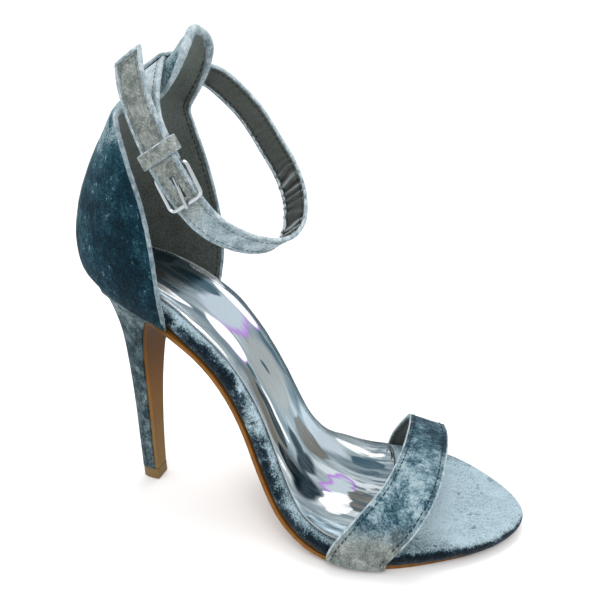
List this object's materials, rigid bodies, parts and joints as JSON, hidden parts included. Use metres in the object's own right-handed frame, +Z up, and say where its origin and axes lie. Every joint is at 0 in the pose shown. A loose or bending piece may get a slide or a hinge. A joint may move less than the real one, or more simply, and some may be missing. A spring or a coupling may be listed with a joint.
{
  "type": "high heel sandal",
  "caption": "High stiletto heel sandal with a closed back counter, a toe strap, a buckled ankle strap through a back loop, and an open toe",
  "frame": {"origin": "middle of the heel tip's lower face, on the floor", "axes": "+Z up from the floor, +X toward the toe, +Y toward the inner side of the foot"},
  "size_m": [0.1913, 0.0861, 0.2006],
  "materials": {
    "outsole": "smooth tan sole leather board",
    "footbed_velvet": "crushed velvet, light steel blue",
    "sock": "very glossy silver film",
    "heel_velvet": "crushed velvet, mottled grey blue",
    "lift": "hard tan heel tip",
    "upper_velvet": "crushed velvet, deep teal blue, dark grey lining",
    "strap_velvet": "crushed velvet, blue grey, stitched edges",
    "buckle_metal": "polished"
  },
  "bodies": {
    "root": {"outsole": "outsole", "footbed": "footbed_velvet", "insole_sock": "sock", "heel": "heel_velvet", "top_lift": "lift", "counter": "upper_velvet", "back_loop": "upper_velvet", "toe_strap": "strap_velvet", "ankle_strap": "strap_velvet", "buckle_frame": "buckle_metal", "buckle_prong": "buckle_metal", "strap_keeper": "strap_velvet"}
  },
  "joints": []
}
